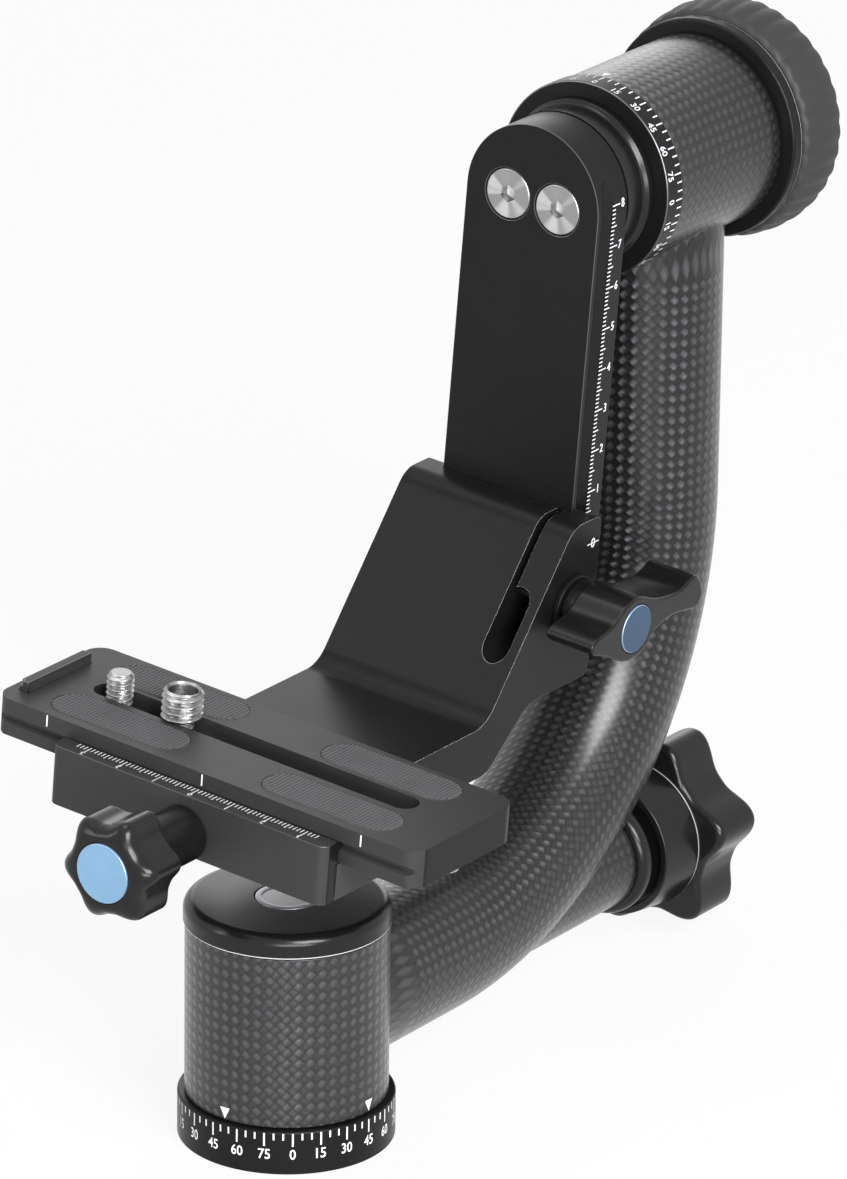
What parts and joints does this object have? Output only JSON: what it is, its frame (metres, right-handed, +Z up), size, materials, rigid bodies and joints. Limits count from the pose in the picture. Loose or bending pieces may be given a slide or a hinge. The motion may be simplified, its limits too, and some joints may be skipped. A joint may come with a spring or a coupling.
{
  "type": "gimbal tripod head",
  "caption": "Gimbal tripod head with a curved carbon arm, pan and tilt axes with lock knobs, a sliding L bracket and a quick release clamp with a long lens plate.",
  "frame": {"origin": "centre of the base's bottom face, on the pan axis, where the tripod's plate bears", "axes": "+Z up along the pan axis, +X from the base towards the arm and parallel to the tilt axis, +Y completes the right-handed frame; the lens looks along Y"},
  "size_m": [0.2329, 0.1174, 0.2241],
  "materials": {
    "black_anodised": "satin black anodised",
    "carbon_weave": "plain carbon weave under a clear gloss coat",
    "ribbed_rubber": "matt black moulded rubber",
    "stainless": "brushed stainless",
    "bearing_steel": "ground bearing steel",
    "bare_alloy": "turned aluminium",
    "blue_anodised": "satin blue anodised",
    "nylon": "plain nylon"
  },
  "bodies": {
    "base": {"base_scale_ring": "black_anodised", "tripod_bush": "stainless", "pan_spindle": "stainless", "pan_nut": "stainless"},
    "yoke": {"pan_bearing_lower": "bearing_steel", "pan_bearing_upper": "bearing_steel", "pan_insert": "bare_alloy", "pan_sleeve": "carbon_weave", "base_cap": "black_anodised", "base_cap_badge": "bare_alloy", "carbon_arm": "carbon_weave", "stub_tube": "carbon_weave", "stub_ferrule": "black_anodised", "tilt_housing": "carbon_weave", "tilt_insert": "bare_alloy", "tilt_bearing_front": "bearing_steel", "tilt_bearing_rear": "bearing_steel", "tilt_brake_disc": "nylon"},
    "pan_brake": {"pan_brake_pad": "nylon"},
    "pan_lock": {"pan_lock_screw": "stainless", "pan_lock_knob": "black_anodised", "pan_lock_cap": "blue_anodised"},
    "cradle": {"tilt_axle": "stainless", "tilt_scale_ring": "black_anodised", "slide_plate": "black_anodised", "plate_screw_left": "stainless", "plate_screw_right": "stainless"},
    "tilt_lock": {"tilt_knob_core": "black_anodised", "tilt_knob_grip": "ribbed_rubber", "tilt_knob_cap": "black_anodised"},
    "bracket": {"l_bracket": "black_anodised", "clamp_body": "black_anodised", "clamp_mount_screw_left": "stainless", "clamp_mount_screw_right": "stainless", "jaw_pin_left": "stainless", "jaw_pin_right": "stainless", "bracket_lock_washer": "stainless"},
    "bracket_lock": {"bracket_lock_screw": "stainless", "bracket_lock_knob": "black_anodised", "bracket_lock_cap": "blue_anodised"},
    "jaw": {"clamp_jaw": "black_anodised"},
    "clamp_lock": {"clamp_screw": "stainless", "clamp_knob": "black_anodised", "clamp_knob_cap": "blue_anodised"},
    "plate": {"lens_plate": "black_anodised", "grip_pad_front_left": "ribbed_rubber", "grip_pad_front_right": "ribbed_rubber", "grip_pad_back_left": "ribbed_rubber", "grip_pad_back_right": "ribbed_rubber", "lens_stop_bar": "black_anodised", "safety_screw_left": "stainless", "safety_screw_right": "stainless"},
    "small_carrier": {"small_screw_washer": "nylon"},
    "small_screw": {"small_camera_screw": "stainless"},
    "large_carrier": {"large_screw_washer": "nylon"},
    "large_screw": {"large_camera_screw": "stainless", "adapter_bush": "stainless"}
  },
  "joints": [
    {"name": "pan", "type": "hinge", "parent": "base", "child": "yoke", "pos_m": [0, 0, 0], "axis": [0, 0, 1], "continuous": true},
    {"name": "pan_lock_turn", "type": "hinge", "parent": "pan_brake", "child": "pan_lock", "pos_m": [0.14, 0, 0.0265], "axis": [1, 0, 0], "range_deg": [0, 180]},
    {"name": "pan_brake_slide", "type": "slide", "parent": "yoke", "child": "pan_brake", "axis": [1, 0, 0], "range_m": [0, 0.000625]},
    {"name": "tilt", "type": "hinge", "parent": "yoke", "child": "cradle", "pos_m": [0.102, 0, 0.19597], "axis": [1, 0, 0], "continuous": true},
    {"name": "tilt_lock_turn", "type": "hinge", "parent": "cradle", "child": "tilt_lock", "pos_m": [0.167, 0, 0.19597], "axis": [1, 0, 0], "range_deg": [0, 180]},
    {"name": "bracket_slide", "type": "slide", "parent": "cradle", "child": "bracket", "axis": [0, -0.0787, 0.9969], "range_m": [0, 0.08]},
    {"name": "bracket_lock_turn", "type": "hinge", "parent": "bracket", "child": "bracket_lock", "pos_m": [0.0847, -0.02282, 0.10392], "axis": [0, -0.9969, -0.0787], "range_deg": [0, 180]},
    {"name": "clamp_lock_turn", "type": "hinge", "parent": "jaw", "child": "clamp_lock", "pos_m": [-0.045, 0.00926, 0.07877], "axis": [-1, 0, 0], "range_deg": [0, 720]},
    {"name": "jaw_slide", "type": "slide", "parent": "bracket", "child": "jaw", "axis": [-1, 0, 0], "range_m": [0, 0.0025]},
    {"name": "lens_plate_slide", "type": "slide", "parent": "bracket", "child": "plate", "axis": [0, 0.9969, 0.0787], "range_m": [-0.033, 0.033]},
    {"name": "small_screw_slide", "type": "slide", "parent": "plate", "child": "small_carrier", "axis": [0, 0.9969, 0.0787], "range_m": [-0.005, 0.003]},
    {"name": "small_screw_turn", "type": "hinge", "parent": "small_carrier", "child": "small_screw", "pos_m": [-0.0008, 0.04688, 0.09137], "axis": [0, -0.0787, 0.9969], "continuous": true},
    {"name": "large_screw_slide", "type": "slide", "parent": "plate", "child": "large_carrier", "axis": [0, 0.9969, 0.0787], "range_m": [-0.061, 0.001]},
    {"name": "large_screw_turn", "type": "hinge", "parent": "large_carrier", "child": "large_screw", "pos_m": [-0.0008, 0.02944, 0.08999], "axis": [0, -0.0787, 0.9969], "continuous": true}
  ],
  "couplings": [
    {"joint": "pan_brake_slide", "follows": "pan_lock_turn", "m_per_rad": 0.00019894},
    {"joint": "jaw_slide", "follows": "clamp_lock_turn", "m_per_rad": 0.00019894}
  ]
}
